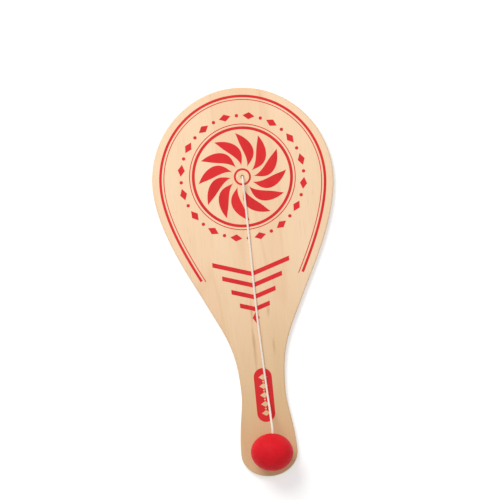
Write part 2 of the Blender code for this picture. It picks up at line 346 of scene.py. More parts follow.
@dataclass(frozen=True)
class SandedBasswood(Finish):
    """Basswood veneer, rotary cut and sanded: pale, dry and nearly plain, with faint figure and fibres."""

    name: str = "basswood_veneer_sanded"
    ior: float = 1.53
    roughness: float = 0.62
    relief: float = 0.007
    specular: float = 0.25
    run: Run = Run.UP_PADDLE
    pale: str = "#F9D9B5"
    figure: Marks = Marks(26.0, 230.0, 1.5, 4.0)  # as wide as a growth ring that the knife slices flat
    tan: Tint = Tint("#F3CDA6", 0.3, 0.75)
    falloff_shade: Tint = Tint("#DFBC8F", 60.0 * MM, -80.0 * MM)  # painted shade of the lamp's falloff, darker from the throat down to the grip
    falloff_shade_wander: Marks = Marks(14.0, 90.0, 1.0, 41.0)
    falloff_shade_reach: float = 60.0  # how far the painted shade's boundary wanders along the paddle
    late_wood: Tint = Tint("#D9A877", 0.75, 1.0, 0.15)
    late_wood_lines: float = 9.0  # from one tone of the figure to the other
    fibre: Tint = Tint("#CFA074", 0.45, 0.8, 0.18)
    fibres: Marks = Marks(0.7, 22.0, 3.0, 11.0)  # drawn coarser than the real 0.05 mm, so that they show
    fleck: Tint = Tint("#CFA074", 0.68, 0.8, 0.22)
    flecks: Marks = Marks(0.9, 7.0, 1.0, 23.0)  # open vessels that hold sanding dust
    streaks: tuple[MineralStreak, ...] = ()
    arris_burnish_and_shade: Tint = Tint("#B98E5F", 1.6, 0.0, 0.12)  # where sanding darkens the arris a little, and painted shade of the eased edge
    bore_painted_shade: Tint = Tint("#6E4C2C", 0.0, -0.5, 0.9)  # painted shade down inside a bore

    def patterns(self, tree: Tree) -> tuple[Socket, Socket, Socket]:
        """Build the figure, late wood, fibres, flecks and streaks, sanding's darkening at the edges, and
        painted shade: down the handle, at the eased edges and down inside the bores.

        Args:
            tree: Node tree to add to.

        Returns:
            The colour, and the fibres for the roughness and the relief.
        """
        place = add_node(tree, "TexCoord").outputs["Object"]
        figure = self.figure.pattern(tree, place, self.run)
        colour = self.tan.over(tree, self.pale, figure)

        # Painted shade: the wood darkens from the throat down to the grip, standing in for the lamp's falloff.
        up = add_node(tree, "SeparateXYZ", links={0: place}).outputs["Y"]
        wander = self.falloff_shade_wander.pattern(tree, place, self.run)
        reach = {"operation": "MULTIPLY_ADD", 1: self.falloff_shade_reach * MM}
        boundary = add_node(tree, "Math", reach, {0: wander, 2: up})
        colour = self.falloff_shade.over(tree, colour, boundary.outputs[0])

        # Late wood shows as thin contour lines of the figure, as a rotary cut slices the growth rings flat.
        count = {"operation": "MULTIPLY", 1: self.late_wood_lines}
        rings = add_node(tree, "Math", count, {0: figure})
        ring = add_node(tree, "Math", {"operation": "PINGPONG", 1: 1.0}, {0: rings.outputs[0]})
        colour = self.late_wood.over(tree, colour, ring.outputs[0])

        fibres = self.fibres.pattern(tree, place, self.run)
        colour = self.fibre.over(tree, colour, fibres)
        colour = self.fleck.over(tree, colour, self.flecks.pattern(tree, place, self.run))
        for streak in self.streaks:
            colour = streak.over(tree, colour, place, self.run)
        edge = add_node(tree, "Attribute", {"attribute_name": "from_edge"}).outputs["Fac"]
        # Darker near the edges: partly sanding's darkening of the arris, partly painted shade of the eased
        # edge.
        colour = self.arris_burnish_and_shade.over(tree, colour, edge)
        # Painted shade down inside the bores, where the wall lies in shadow.
        return self.bore_painted_shade.over(tree, colour, edge), fibres, fibres


@dataclass(frozen=True)
class ScreenInk(LayeredFinish):
    """Screen ink on raw wood: an even, nearly matt film, a little thin where fibres stand up through it."""

    name: str = "screen_ink_red"
    ior: float = 1.50
    roughness: float = 0.58
    relief: float = 0.004
    specular: float = 0.15
    ground: str = "#E02F31"
    layers: Layers = (
        (Marks(9.0, 30.0, 2.0, 3.0), Tint("#D0292D", 0.35, 0.7, 0.7)),  # thick where the squeegee slowed
        (Marks(0.7, 16.0, 3.0, 11.0), Tint("#E8604F", 0.58, 0.82, 0.3)),  # thin over the wood's fibres
        (Marks(0.8, 1.6, 1.0, 31.0), Tint("#E8604F", 0.72, 0.8, 0.5)),  # pinholes over single vessels
    )
    worn: int = 1
    raised: int = 1


@dataclass(frozen=True)
class GlueFilm(LayeredFinish):
    """Urea glue, pressed hot and set hard: a thin amber line with a slight gloss between the plies."""

    name: str = "urea_glue_set"
    ior: float = 1.55
    roughness: float = 0.42
    rough_spread: float = 0.06
    ground: str = "#8E6238"
    layers: Layers = (
        (Marks(3.0, 3.0, 2.0, 7.0), Tint("#6B4524", 0.35, 0.65)),  # dark where the press left it thick
    )


@dataclass(frozen=True)
class BraidedCotton(Finish):
    """Cotton yarn, braided over a rubber core: warm white and dull, with fuzz that lights up its rim."""

    name: str = "cotton_braid_white"
    ior: float = 1.53
    roughness: float = 0.85
    rough_spread: float = 0.05
    sheen: float = 0.25
    # Painted shade in the braid's hollows, where the strands shade each other.
    hollow_painted_shade: str = "#D8C1B0"
    strand: Tint = Tint("#F8E8DA", 0.0, 0.7)
    yarns: Marks = Marks(0.22, 0.88, 2.0, 5.0)  # as fine as the real yarn
    shaded_yarn: Tint = Tint("#D8C1B0", 0.5, 0.8, 0.35)

    def patterns(self, tree: Tree) -> tuple[Socket, Socket, Socket]:
        """Build strands, with painted shade in the hollows between them, and yarns, which follow the cord's
        own stored places and so bend with it.

        Args:
            tree: Node tree to add to.

        Returns:
            The colour, and the yarns for the roughness and the relief.
        """
        height = add_node(tree, "Attribute", {"attribute_name": "braid_height"}).outputs["Fac"]
        place = add_node(tree, "Attribute", {"attribute_name": "cord_place"}).outputs["Vector"]
        yarns = self.yarns.pattern(tree, place, Run.DOWN_CORD)
        # Strand tops take the cotton's own warm white, and the hollows between them a painted shade.
        colour = self.strand.over(tree, self.hollow_painted_shade, height)
        return self.shaded_yarn.over(tree, colour, yarns), yarns, yarns


@dataclass(frozen=True)
class MouldedRubber(LayeredFinish):
    """Vulcanised rubber, compression moulded: saturated matt red, with a fine tooth and a breath of bloom."""

    name: str = "vulcanised_rubber_red"
    ior: float = 1.52
    roughness: float = 0.58
    specular: float = 0.10
    ground: str = "#E21B27"
    layers: Layers = (
        (Marks(7.0, 7.0, 2.0, 2.0), Tint("#D31823", 0.35, 0.7, 0.8)),  # flow of the rubber in its mould
        # Bloom on the mould's fine tooth, which is drawn coarser than the real 0.1 mm, so that it shows.
        (Marks(0.45, 0.45, 3.0, 9.0), Tint("#E23A45", 0.55, 0.8, 0.25)),
    )
    raised: int = 1


def finish_mesh(name: str, form: Form, material: Material) -> Piece:
    """Turn a bmesh into a smooth-shaded object whose real edges stay sharp.

    Args:
        name: Name of the piece.
        form: Mesh to take. It is freed.
        material: Material of the piece.

    Returns:
        The new object.
    """
    bmesh.ops.recalc_face_normals(form, faces=form.faces)
    mesh = bpy.data.meshes.new(name)
    form.to_mesh(mesh)
    form.free()
    mesh.shade_smooth()
    mesh.set_sharp_from_angle(angle=SHARP_ANGLE)
    mesh.materials.append(material)
    piece = bpy.data.objects.new(name, mesh)
    bpy.context.scene.collection.objects.link(piece)
    return piece


def join_rings(form: Form, rings: list[VertRing]) -> None:
    """Face the bands between closed rings of as many points each.

    Args:
        form: Mesh to add to.
        rings: The rings, in order.
    """
    for lower, upper in zip(rings, rings[1:]):
        for i in range(len(lower)):
            after = (i + 1) % len(lower)
            form.faces.new((lower[i], lower[after], upper[after], upper[i]))


def ring_edges(form: Form, ring: VertRing) -> list[bmesh.types.BMEdge]:
    """The edges once round a ring, made where they are missing.

    Args:
        form: Mesh that holds the ring.
        ring: The ring's points, in order.

    Returns:
        The edges.
    """
    edges = []
    for here, after in zip(ring, ring[1:] + ring[:1]):
        edges.append(form.edges.get((here, after)) or form.edges.new((here, after)))
    return edges


def direction(turn: float) -> Vector:
    """The flat direction at an angle from +X, in radians."""
    return Vector((math.cos(turn), math.sin(turn)))


def circle(middle: Vector, radius: float, points: int) -> Loop:
    """A round loop of so many points."""
    return [middle + radius * direction(2 * math.pi * i / points) for i in range(points)]


def lozenge(middle: Vector, wide: float, long: float, up: Vector) -> Loop:
    """A four-sided lozenge.

    Args:
        middle: Its centre.
        wide: Its width across.
        long: Its length up.
        up: Direction of its length.

    Returns:
        The loop.
    """
    side = Vector((up.y, -up.x)) * wide / 2
    end = up * long / 2
    return [middle + end, middle + side, middle - end, middle - side]


def bezier(start: Vector, pull_out: Vector, pull_in: Vector, end: Vector, steps: int) -> Loop:
    """Points of a cubic curve, without its first one.

    Args:
        start: Where it starts.
        pull_out: Handle of the start, from there.
        pull_in: Handle of the end, from there.
        end: Where it ends.
        steps: How many points it gives.

    Returns:
        The points.
    """
    points = []
    for step in range(1, steps + 1):
        t = step / steps
        near = start * (1 - t) ** 3 + (start + pull_out) * (3 * t * (1 - t) ** 2)
        far = (end + pull_in) * (3 * t * t * (1 - t)) + end * t**3
        points.append(near + far)
    return points


def hole_place() -> Vector:
    """Centre of the elastic's hole on the paddle, in metres."""
    low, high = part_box("elastic_shank")
    return Vector(((low.x + high.x) / 2, (low.y + high.y) / 2))


def face_level() -> float:
    """Height of the playing face, in metres."""
    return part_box("front_face_ply")[1].z


@dataclass(frozen=True)
class PaddleOutline:
    """Outline of the paddle, in millimetres. Places are measured up it from its middle."""

    crown: float = 65.0  # from the head's widest line up to its top end
    flank_pull: float = 30.0
    taper_width: float = 72.4
    taper_place: float = -8.0
    taper_angle: float = 25.4
    taper_run_up: float = 15.4
    taper_run_down: float = 29.6
    neck_width: float = 31.0
    neck_place: float = -78.3
    neck_run_up: float = 34.3
    neck_run_down: float = 10.0
    grip_width: float = 39.5
    grip_end: float = 16.5
    grip_run_up: float = 17.6
    arc_steps: int = 56
    curve_steps: int = 40

    def right_side(self) -> Loop:
        """Right side of the outline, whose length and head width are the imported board's.

        Returns:
            Its points, from the head's top down to the grip's end.
        """
        low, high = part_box("front_face_ply")
        top = (high.y - low.y) / 2 / MM
        taper_up = direction(math.radians(90.0 - self.taper_angle))
        widest = Vector(((high.x - low.x) / 2 / MM, top - self.crown))
        taper = Vector((self.taper_width / 2, self.taper_place))
        neck = Vector((self.neck_width / 2, self.neck_place))
        grip = Vector((self.grip_width / 2, self.grip_end - top))

        turns = [math.pi / 2 * step / self.arc_steps for step in range(self.arc_steps + 1)]
        points = [Vector((widest.x * math.sin(t), widest.y + self.crown * math.cos(t))) for t in turns]
        for start, pull_out, pull_in, end in (
            (widest, -UP * self.flank_pull, taper_up * self.taper_run_up, taper),
            (taper, -taper_up * self.taper_run_down, UP * self.neck_run_up, neck),
            (neck, -UP * self.neck_run_down, UP * self.grip_run_up, grip),
        ):
            points += bezier(start, pull_out, pull_in, end, self.curve_steps)
        points += [Vector((grip.x * math.cos(t), grip.y - self.grip_end * math.sin(t))) for t in turns[1:]]
        return points

    def loop(self, inset: float = 0.0) -> Loop:
        """The whole outline, clockwise from the head's top.

        Args:
            inset: How far inside the paddle's edge it runs, in millimetres.

        Returns:
            The outline's points, in millimetres.
        """
        right = self.right_side()
        points = right + [Vector((-p.x, p.y)) for p in right[-2:0:-1]]
        moved = []
        for before, point, after in zip(points[-1:] + points[:-1], points, points[1:] + points[:1]):
            along = (after - before).normalized()
            moved.append(point + inset * Vector((along.y, -along.x)))
        return moved


@dataclass(frozen=True)
class Ring:
    """One ring of a sheet's outside or of the bore through it."""

    offset: float  # inset from the paddle's outline, or the bore's radius, in millimetres
    height: float  # in metres
    from_edge: float  # distance from the nearest eased edge in millimetres, below 0 down inside a bore


@dataclass(frozen=True)
class Plywood:
    """The paddle's board: three plies, two glue lines, the elastic's hole and the knot's pocket."""

    outline: PaddleOutline = PaddleOutline()
    edge_round: float = 0.8
    round_steps: int = 5
    flat_margin: float = 0.4  # keeps the round's shading off the flat face
    # Reach of the edge tint: sanding's darkening and painted shade of the eased edge.
    edge_tint_margin: float = 2.6
    hole: float = 2.4
    pocket: float = 6.0
    mouth_round: float = 0.25
    mouth_depth: float = 0.5  # below the face, where a bore's wall has turned fully to its painted shade
    bore_points: int = 56
    glue_inset: float = 0.12  # how far the glue stays back from the edge

    face: SandedBasswood = SandedBasswood(
        streaks=(
            MineralStreak(across=-2.8, middle=-21.5, width=3.0, length=20.0, share=0.5),
            MineralStreak(across=-3.2, middle=-46.0, width=3.2, length=40.0, share=0.55),
            MineralStreak(across=8.7, middle=-21.0, width=2.8, length=14.0, share=0.45),
            MineralStreak(across=10.4, middle=-46.5, width=2.4, length=15.0, share=0.45),
        )
    )
    back: SandedBasswood = SandedBasswood(
        name="basswood_back_sanded", pale="#F3CFA8", tan=Tint("#E6BB8E", 0.3, 0.75)
    )
    core: SandedBasswood = SandedBasswood(
        name="basswood_core_cross_cut",
        roughness=0.75,
        run=Run.ACROSS_PADDLE,
        pale="#DDB384",
        figure=Marks(2.0, 30.0, 1.5, 4.0),
        tan=Tint("#C79A68", 0.3, 0.75),
        late_wood=Tint("#B98A58", 0.75, 1.0, 0.15),
        fibre=Tint("#9A6E43", 0.45, 0.8, 0.18),
        fibres=Marks(0.45, 9.0, 3.0, 11.0),
        fleck=Tint("#9A6E43", 0.68, 0.8, 0.22),
    )

    def edge_profile(self, low: float, high: float, eased: EasedEdge) -> list[Ring]:
        """Outside of a ply from its bottom to its top, with margins on both faces.

        Args:
            low: Height of its bottom, in metres.
            high: Height of its top, in metres.
            eased: Which of its edges is rounded.

        Returns:
            The rings, offset inwards.
        """
        arc = []
        for step in range(self.round_steps + 1):
            turn = math.pi / 2 * step / self.round_steps
            arc.append((self.edge_round * (1 - math.cos(turn)), self.edge_round * (1 - math.sin(turn)) * MM))
        upper = [(inset, high - rise) for inset, rise in arc] if eased is EasedEdge.TOP else [(0.0, high)]
        lower = [(inset, low + rise) for inset, rise in arc] if eased is EasedEdge.BOTTOM else [(0.0, low)]
        profile = lower[::-1] + upper
        for margin in (self.flat_margin, self.edge_tint_margin):
            profile.insert(0, (lower[-1][0] + margin, low))
            profile.append((upper[-1][0] + margin, high))
        return [Ring(inset, height, inset) for inset, height in profile]

    def bore_profile(self, low: float, high: float, radius: float, mouth: EasedEdge) -> list[Ring]:
        """Wall of a bore from its bottom to its top, with its mouth rounded and a margin round that.

        Args:
            low: Height of its bottom, in metres.
            high: Height of its top, in metres.
            radius: Radius of the bore, in millimetres.
            mouth: At which face its mouth is, if at any.

        Returns:
            The rings, with the bore's radius as their offset.
        """
        if mouth is EasedEdge.NONE:
            return [Ring(radius, level, -self.mouth_depth) for level in (low, high)]
        half_turn = self.mouth_round * (1 - math.cos(math.pi / 4))
        steps = (
            (radius, self.mouth_depth),
            (radius, self.mouth_round),
            (radius + half_turn, half_turn),
            (radius + self.mouth_round, 0.0),
            (radius + self.edge_tint_margin, 0.0),
        )
        face, down = (high, -MM) if mouth is EasedEdge.TOP else (low, MM)
        rings = [Ring(r, face + down * depth, r - radius - depth) for r, depth in steps]
        if mouth is EasedEdge.TOP:
            return [Ring(radius, low, -self.mouth_depth), *rings]
        return [*reversed(rings), Ring(radius, high, -self.mouth_depth)]

    def sheet(self, name: str, edge: list[Ring], bore: list[Ring], material: Material) -> Piece:
        """A flat sheet of the paddle's outline with a bore through it.

        Args:
            name: Name of the piece.
            edge: Rings up its outside.
            bore: Rings up its bore.
            material: Material of the piece.

        Returns:
            The sheet, whose from_edge attribute holds each ring's distance from its eased edges.
        """
        form = bmesh.new()
        from_edge = form.verts.layers.float.new("from_edge")
        middle = hole_place() / MM
        loops = [(ring, self.outline.loop(ring.offset)) for ring in edge]
        loops += [(ring, circle(middle, ring.offset, self.bore_points)) for ring in bore]
        rings = []
        for ring, loop in loops:
            rings.append([form.verts.new((p.x * MM, p.y * MM, ring.height)) for p in loop])
            for vert in rings[-1]:
                vert[from_edge] = ring.from_edge
        outer = rings[: len(edge)]
        inner = rings[len(edge) :]
        join_rings(form, outer)
        join_rings(form, inner)
        for end in (0, -1):
            edges = ring_edges(form, outer[end]) + ring_edges(form, inner[end])
            bmesh.ops.triangle_fill(form, use_beauty=True, use_dissolve=False, edges=edges)
        return finish_mesh(name, form, material)

    def ply(self, name: str, node: str, eased: EasedEdge, bore: float, finish: Finish) -> Piece:
        """Build one veneer in the place of its solid.

        Args:
            name: Name of the piece.
            node: Node that it replaces.
            eased: Which of its edges is rounded.
            bore: Diameter of its bore, in millimetres.
            finish: Finish of the piece.

        Returns:
            The veneer.
        """
        low, high = (corner.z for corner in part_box(node))
        edge = self.edge_profile(low, high, eased)
        wall = self.bore_profile(low, high, bore / 2, eased)
        piece = self.sheet(name, edge, wall, finish.material())
        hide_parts(node)
        return piece

    def glue_line(self, name: str, below: str, above: str, bore: float, material: Material) -> Piece:
        """Build the film of glue between two plies.

        Args:
            name: Name of the piece.
            below: Node under the film.
            above: Node over it.
            bore: Diameter of the opening in it, in millimetres.
            material: Material of the piece.

        Returns:
            The film.
        """
        levels = (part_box(below)[1].z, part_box(above)[0].z)
        edge = [Ring(self.glue_inset, level, 0.0) for level in levels]
        wall = [Ring(bore / 2 + self.glue_inset, level, 0.0) for level in levels]
        return self.sheet(name, edge, wall, material)

    def build(self) -> list[Piece]:
        """Build the board's pieces and set them on the paddle.

        Returns:
            The three veneers and the two glue lines.
        """
        front = self.ply("front_veneer", "front_face_ply", EasedEdge.TOP, self.hole, self.face)
        core = self.ply("core_veneer", "core_ply", EasedEdge.NONE, self.pocket, self.core)
        back = self.ply("back_veneer", "back_face_ply", EasedEdge.BOTTOM, self.pocket, self.back)
        glue = GlueFilm().material()
        pieces = [
            front,
            core,
            back,
            self.glue_line("front_glue_line", "core_ply", "front_face_ply", self.hole, glue),
            self.glue_line("back_glue_line", "back_face_ply", "core_ply", self.pocket, glue),
        ]
        for piece in pieces:
            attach(piece, "paddle")
        return pieces


@dataclass(frozen=True)
class FacePrint:
    """One-colour print: a pinwheel, a circle of diamonds and dots, border lines, chevrons and a plaque.

    Sizes are in millimetres. What goes round is centred on the elastic's hole.
    """

    outline: PaddleOutline = PaddleOutline()
    film: float = 0.05
    stand_off: float = 0.01
    arc_points: int = 96
    dot_points: int = 24
    blades: int = 12
    blade_inner: float = 8.0
    blade_outer: float = 31.0
    blade_width: float = 8.6
    blade_sweep: float = 34.0
    blade_curl: float = 1.4  # above 1, the sweep is strongest at the tip
    blade_belly: float = 1.3  # above 1, the blade is widest past its middle
    blade_steps: int = 20
    hub: tuple[float, float] = (4.6, 6.0)
    rings: tuple[tuple[float, float], ...] = ((33.4, 35.4), (36.7, 37.3))
    jewels: int = 16
    jewel_circle: float = 43.0
    diamond: tuple[float, float] = (8.4, 5.0)  # along the circle and across it
    dot: float = 2.4
    borders: tuple[tuple[float, float], ...] = ((5.0, 6.8), (8.0, 8.6))
    border_end: float = 3.0
    chevrons: tuple[tuple[float, float], ...] = ((16.0, 27.0), (6.0, 21.0), (-4.0, 15.5), (-14.0, 10.5))
    chevron_stroke: float = 3.2
    chevron_fall: float = 0.32
    tail_place: float = -25.0
    tail: tuple[float, float] = (5.0, 8.0)  # wide and long, as in the plaque
    plaque_place: tuple[float, float] = (0.5, -79.5)
    plaque: tuple[float, float] = (12.6, 37.8)
    plaque_lozenges: int = 5
    plaque_lozenge: tuple[float, float] = (6.2, 4.1)
    plaque_bead: float = 1.3

    def pinwheel(self) -> list[Shape]:
        """Swept blades round a hub ring, inside two rings.

        Returns:
            The shapes.
        """
        middle = hole_place() / MM
        shapes = []
        for blade in range(self.blades):
            sides = ([], [])
            for step in range(self.blade_steps + 1):
                t = step / self.blade_steps
                radius = self.blade_inner + (self.blade_outer - self.blade_inner) * t
                turn = 2 * math.pi * blade / self.blades + math.radians(self.blade_sweep) * t**self.blade_curl
                half = self.blade_width / 2 * math.sin(math.pi * t**self.blade_belly) / radius
                for side, sign in zip(sides, (1, -1)):
                    side.append(middle + radius * direction(turn + sign * half))
            shapes.append([sides[0] + sides[1][-2:0:-1]])
        for inner, outer in (self.hub, *self.rings):
            shapes.append([circle(middle, radius, self.arc_points) for radius in (outer, inner)])
        return shapes

    def jewel_ring(self) -> list[Shape]:
        """Diamonds and dots by turns on a circle.

        Returns:
            The shapes.
        """
        middle = hole_place() / MM
        shapes = []
        along, across = self.diamond
        for i in range(self.jewels):
            out = direction(2 * math.pi * (i + 0.5) / self.jewels)
            shapes.append([lozenge(middle + out * self.jewel_circle, along, across, out)])
            out = direction(2 * math.pi * (i + 1) / self.jewels)
            shapes.append([circle(middle + out * self.jewel_circle, self.dot / 2, self.dot_points)])
        return shapes

    def border(self) -> list[Shape]:
        """Lines that follow the head's edge and stop above the throat.

        Returns:
            The shapes.
        """
        shapes = []
        for borders in self.borders:
            sides = []
            for inset in borders:
                loop = self.outline.loop(inset)
                half = len(loop) // 2
                sides.append([p for p in loop[half:] + loop[:half] if p.y > self.border_end])
            shapes.append([sides[0] + sides[1][::-1]])
        return shapes

    def chevron_stack(self) -> list[Shape]:
        """Chevrons that point down the handle and shrink with the taper, and a diamond below them.

        Returns:
            The shapes.
        """
        shapes = []
        for top, half in self.chevrons:
            fall = half * self.chevron_fall
            upper = [Vector((-half, top)), Vector((0.0, top - fall)), Vector((half, top))]
            lower = [p - self.chevron_stroke * UP for p in reversed(upper)]
            shapes.append([upper + lower])
        shapes.append([lozenge(self.tail_place * UP, *self.tail, UP)])
        return shapes

    def oblong(self, middle: Vector, width: float, length: float) -> Loop:
        """An upright oblong with round ends.

        Args:
            middle: Its centre.
            width: Its width.
            length: Its length over both ends.

        Returns:
            The loop.
        """
        half = self.arc_points // 2
        points = []
        for end in (1, -1):
            centre = middle + end * (length - width) / 2 * UP
            points += [centre + end * width / 2 * direction(math.pi * i / half) for i in range(half + 1)]
        return points

    def handle_plaque(self) -> list[Shape]:
        """A solid oblong with lozenges and beads left bare by turns down its middle.

        Returns:
            The shapes.
        """
        width, length = self.plaque
        middle = Vector(self.plaque_place)
        field = [self.oblong(middle, width, length)]
        pitch = (length - width) / (self.plaque_lozenges - 1)
        for i in range(self.plaque_lozenges):
            place = middle + (i - (self.plaque_lozenges - 1) / 2) * pitch * UP
            field.append(lozenge(place, *self.plaque_lozenge, UP))
            if i > 0:
                field.append(circle(place - pitch / 2 * UP, self.plaque_bead / 2, self.dot_points))
        return [field]

    def film_piece(self, name: str, shapes: list[Shape], material: Material) -> Piece:
        """Lay shapes on the playing face as one film of ink.

        Args:
            name: Name of the piece.
            shapes: Flat shapes in millimetres, each an outer loop with its openings after it.
            material: Material of the piece.

        Returns:
            The film.
        """
        form = bmesh.new()
        low = face_level() + self.stand_off * MM
        for shape in shapes:
            edges = []
            for loop in shape:
                edges += ring_edges(form, [form.verts.new((p.x * MM, p.y * MM, low)) for p in loop])
            bmesh.ops.triangle_fill(form, use_beauty=True, use_dissolve=False, edges=edges)
        raised = bmesh.ops.extrude_face_region(form, geom=list(form.faces))
        lifted = [item for item in raised["geom"] if isinstance(item, bmesh.types.BMVert)]
        bmesh.ops.translate(form, verts=lifted, vec=(0.0, 0.0, self.film * MM))
        return finish_mesh(name, form, material)

    def build(self) -> list[Piece]:
        """Build the print's pieces and set them on the paddle.

        Returns:
            The films of ink.
        """
        ink = ScreenInk().material()
        parts = {
            "print_pinwheel": self.pinwheel(),
            "print_jewels": self.jewel_ring(),
            "print_border": self.border(),
            "print_chevrons": self.chevron_stack(),
            "print_plaque": self.handle_plaque(),
        }
        pieces = [self.film_piece(name, shapes, ink) for name, shapes in parts.items()]
        for piece in pieces:
            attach(piece, "paddle")
        return pieces


def smooth_line(points: list[Vector], step: float) -> np.ndarray:
    """A smooth curve through points, with its own points evenly spaced.

    Args:
        points: Points that the curve passes, in metres.
        step: About how far apart its points come, in metres.

    Returns:
        The curve's points, one row each.
    """
    chords = [(b - a).length for a, b in zip(points, points[1:])]
    slopes = [(b - a) / chord for a, b, chord in zip(points, points[1:], chords)]
    tangents = [slopes[0]]
    for before, after, chord, following in zip(slopes, slopes[1:], chords, chords[1:]):
        tangents.append((before * following + after * chord) / (chord + following))
    tangents.append(slopes[-1])
    curve = [points[0]]
    for i, chord in enumerate(chords):
        steps = max(CURVE_STEPS_MIN, math.ceil(chord / (step / 2)))
        for number in range(1, steps + 1):
            t = number / steps
            curve.append(
                points[i] * (2 * t**3 - 3 * t**2 + 1)
                + tangents[i] * chord * (t**3 - 2 * t**2 + t)
                + points[i + 1] * (3 * t**2 - 2 * t**3)
                + tangents[i + 1] * chord * (t**3 - t**2)
            )
    line = np.array([tuple(p) for p in curve])
    along = np.concatenate([[0.0], np.cumsum(np.linalg.norm(np.diff(line, axis=0), axis=1))])
    places = np.linspace(0.0, along[-1], max(2, round(along[-1] / step) + 1))
    return np.stack([np.interp(places, along, line[:, axis]) for axis in range(3)], axis=1)


@dataclass(frozen=True)
class BraidedCord:
    """Round cord elastic: a rubber core in a braid of yarn, whose strands cross over and under."""

    diameter: float = 1.5
    strands: int = 4  # that wind each way round
    strand_pitch: float = 1.1  # between strands, along the cord
    relief: float = 0.11
    under_level: float = 0.55  # of a strand where it passes under another, as a share of the relief
    strand_fullness: float = 0.8  # below 1, the strands are flatter on top and the hollows narrower
    sides: int = 28
    ring_step: float = 0.2

    def frames(self, line: np.ndarray) -> tuple[np.ndarray, np.ndarray]:
        """Two directions square to the line at each point, which turn no more than the line does.

        Args:
            line: The centreline's points.

        Returns:
            The two directions at each point.
        """
        along = np.gradient(line, axis=0)
        along /= np.linalg.norm(along, axis=1)[:, None]
        first = Vector(along[0]).orthogonal().normalized()
        rights = [np.array(first)]
        for before, after in zip(along, along[1:]):
            turn = Vector(before).rotation_difference(Vector(after))
            moved = np.array(turn @ Vector(rights[-1]))
            moved -= after * (moved @ after)
            rights.append(moved / np.linalg.norm(moved))
        rights = np.array(rights)
        return rights, np.cross(along, rights)

    def braid_height(self, turns: np.ndarray, along: float) -> np.ndarray:
        """How high the braid stands round the cord, from 0 in its hollows to 1 on its strands.

        Args:
            turns: Angles round the cord.
            along: Distance along it, in millimetres.

        Returns:
            The height at each angle.
        """
        around = self.strands * turns / (2 * math.pi)
        forward = math.pi * (around + along / self.strand_pitch)
        backward = math.pi * (around - along / self.strand_pitch)
        first = np.abs(np.cos(forward))
        second = np.abs(np.cos(backward))
        upper = np.where(np.sin(forward) * np.sin(backward) > 0, first, second)
        lower = np.maximum(first, second) * self.under_level
        return np.maximum(upper, lower) ** self.strand_fullness

    def tube(self, name: str, line: np.ndarray, ends: tuple[int, int], material: Material) -> Piece:
        """A stretch of the cord. Neighbouring stretches of one line share their end rings.

        Args:
            name: Name of the piece.
            line: Centreline of the whole cord, in metres.
            ends: First and last of the line's points that the stretch covers.
            material: Material of the piece.

        Returns:
            The stretch, with its places on the straight cord and its braid's height as attributes.
        """
        first, last = ends
        rights, ups = self.frames(line)
        steps = np.linalg.norm(np.diff(line, axis=0), axis=1)
        along = np.concatenate([[0.0], np.cumsum(steps)]) / MM
        turns = 2 * math.pi * np.arange(self.sides) / self.sides
        form = bmesh.new()
        rings, places, heights = [], [], []
        for i in range(first, last + 1):
            height = self.braid_height(turns, along[i])
            radius = (self.diameter / 2 - self.relief * (1 - height)) * MM
            out = np.cos(turns)[:, None] * rights[i] + np.sin(turns)[:, None] * ups[i]
            rings.append([form.verts.new(spot) for spot in line[i] + out * radius[:, None]])
            straight = [np.cos(turns) * radius, np.sin(turns) * radius, np.full(self.sides, along[i] * MM)]
            places.append(np.stack(straight, axis=1))
            heights.append(height)
        join_rings(form, rings)
        form.faces.new(rings[0][::-1])
        form.faces.new(rings[-1])
        piece = finish_mesh(name, form, material)
        place = piece.data.attributes.new("cord_place", "FLOAT_VECTOR", "POINT")
        place.data.foreach_set("vector", np.concatenate(places).astype(np.float32).ravel())
        depth = piece.data.attributes.new("braid_height", "FLOAT", "POINT")
        depth.data.foreach_set("value", np.concatenate(heights).astype(np.float32))
        return piece


@dataclass(frozen=True)
class StopperKnot:
    """An overhand knot, pulled tight: three round lobes, with the cord's cut end through their middle."""

    reach: float = 1.62  # from the knot's axis to the middle of its lobes
    thickness: float = 1.24  # of the cord where the knot squeezes it
    rise: float = 0.66  # of the lobes over and under each other
    lobe_points: int = 36
    lobe_start: float = 0.35  # turns along the lobes, in radians, where the cord joins and leaves them
    lobe_end: float = 5.783
    coming: tuple[tuple[float, float, float], ...] = ((0.0, 0.0, 1.45), (0.0, -0.25, 0.9))
    going: tuple[tuple[float, float, float], ...] = ((-0.25, 0.05, -0.35), (-0.1, 0.2, -1.45))
    ring_step: float = 0.12

    def line(self, place: Matrix) -> list[Vector]:
        """Centreline of the knot, from the cord that comes down its axis to the cut end.

        Args:
            place: Puts the knot's axis, which is Z with the cord coming from +Z, in its place.

        Returns:
            The centreline's points, in metres.
        """
        lobes = []
        for turn in np.linspace(self.lobe_start, self.lobe_end, self.lobe_points + 1):
            x = self.reach * (math.sin(turn) + 2 * math.sin(2 * turn)) / 3
            y = self.reach * (math.cos(turn) - 2 * math.cos(2 * turn)) / 3
            lobes.append((x, y, -self.rise * math.sin(3 * turn)))
        return [place @ (Vector(p) * MM) for p in (*self.coming, *lobes, *self.going)]

    def build(self, name: str, node: str, body: str, place: Matrix, material: Material) -> Piece:
        """Tie the knot in the place of its solid.

        Args:
            name: Name of the piece.
            node: Node that it replaces.
            body: Body that it rides on.
            place: Puts the knot's axis in its place.
            material: Material of the piece.

        Returns:
            The knot.
        """
        line = smooth_line(self.line(place), self.ring_step * MM)
        piece = BraidedCord(diameter=self.thickness).tube(name, line, (0, len(line) - 1), material)
        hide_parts(node)
        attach(piece, body)
        return piece


